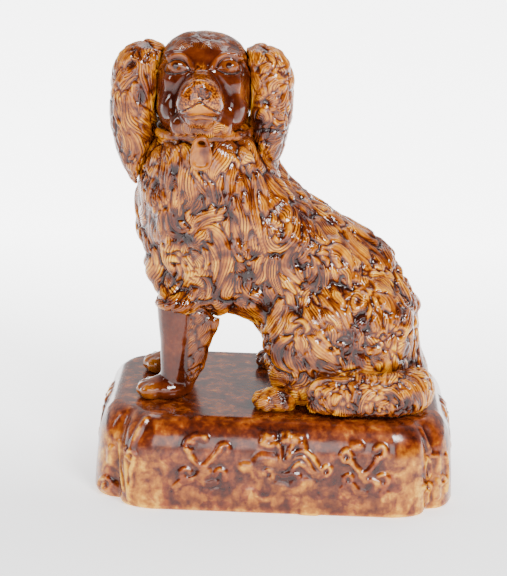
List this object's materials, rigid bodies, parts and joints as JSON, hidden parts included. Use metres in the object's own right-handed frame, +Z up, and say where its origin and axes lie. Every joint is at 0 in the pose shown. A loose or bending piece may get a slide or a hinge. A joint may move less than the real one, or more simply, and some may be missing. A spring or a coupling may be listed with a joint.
{
  "type": "seated dog figurine",
  "caption": "Glazed pottery spaniel seated on a moulded, canted-corner plinth, head turned to the side; a free-standing mantel ornament.",
  "frame": {"origin": "middle of the foot on which the plinth stands", "axes": "+Z up; the plinth's long side lies along X, the dog's chest towards -X; its head is turned to face -Y"},
  "size_m": [0.208, 0.15, 0.2677],
  "materials": {
    "plinth_glaze": "glossy mottled brown glaze",
    "coat_glaze": "glossy amber glaze pooled dark in the grooves",
    "face_glaze": "glossy red-brown glaze",
    "collar_glaze": "glossy amber glaze"
  },
  "bodies": {
    "root": {"plinth": "plinth_glaze", "body_left_half": "coat_glaze", "body_right_half": "coat_glaze", "head": "face_glaze", "left_ear": "coat_glaze", "right_ear": "coat_glaze", "collar": "collar_glaze", "padlock": "collar_glaze", "left_foreleg": "face_glaze", "right_foreleg": "face_glaze", "left_haunch": "coat_glaze", "right_haunch": "coat_glaze", "left_hind_paw": "coat_glaze", "right_hind_paw": "coat_glaze", "tail": "coat_glaze"}
  },
  "joints": []
}
